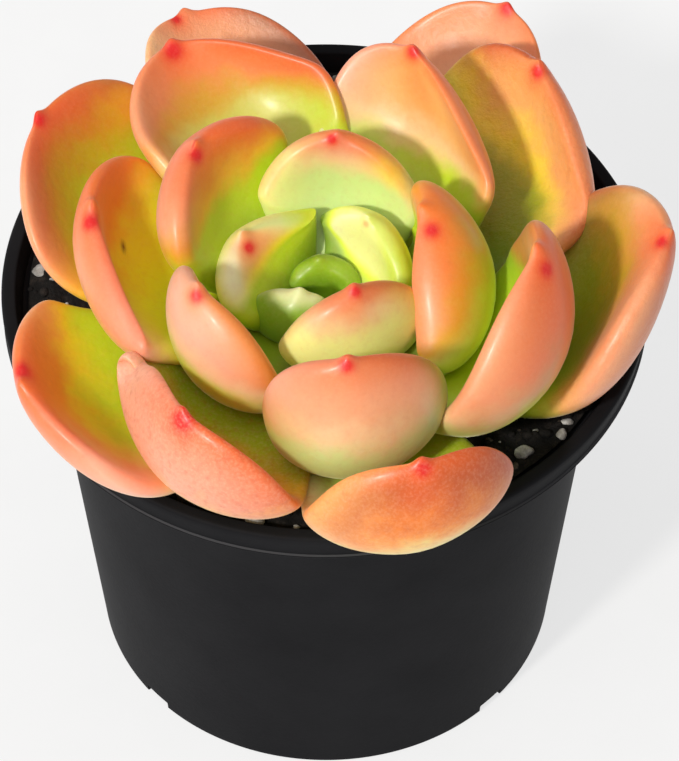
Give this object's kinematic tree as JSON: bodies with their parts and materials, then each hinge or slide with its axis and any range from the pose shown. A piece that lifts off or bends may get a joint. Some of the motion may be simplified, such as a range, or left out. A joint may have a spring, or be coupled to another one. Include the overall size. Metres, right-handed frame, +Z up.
{
  "type": "potted echeveria",
  "caption": "Rosette succulent with thick cupped leaves, growing from a short stem in potting mix, in a round nursery pot with a collar rim.",
  "frame": {"origin": "centre of the pot's flat base, where it stands", "axes": "+Z up along the pot's axis; -Y towards the front, where the rosette leans"},
  "size_m": [0.1082, 0.1123, 0.1139],
  "materials": {
    "pot": "smooth satin black polypropylene",
    "soil": "loose dark potting mix with white perlite",
    "stem": "fleshy green-brown",
    "leaf": "waxy, orange at the margin to yellow-green at the root"
  },
  "bodies": {
    "root": {"pot": "pot", "soil": "soil", "stem": "stem", "leaf_01": "leaf", "leaf_02": "leaf", "leaf_03": "leaf", "leaf_04": "leaf", "leaf_05": "leaf", "leaf_06": "leaf", "leaf_07": "leaf", "leaf_08": "leaf", "leaf_09": "leaf", "leaf_10": "leaf", "leaf_11": "leaf", "leaf_12": "leaf", "leaf_13": "leaf", "leaf_14": "leaf", "leaf_15": "leaf", "leaf_16": "leaf", "leaf_17": "leaf", "leaf_18": "leaf", "leaf_19": "leaf", "leaf_20": "leaf", "leaf_21": "leaf", "leaf_22": "leaf"}
  },
  "joints": []
}
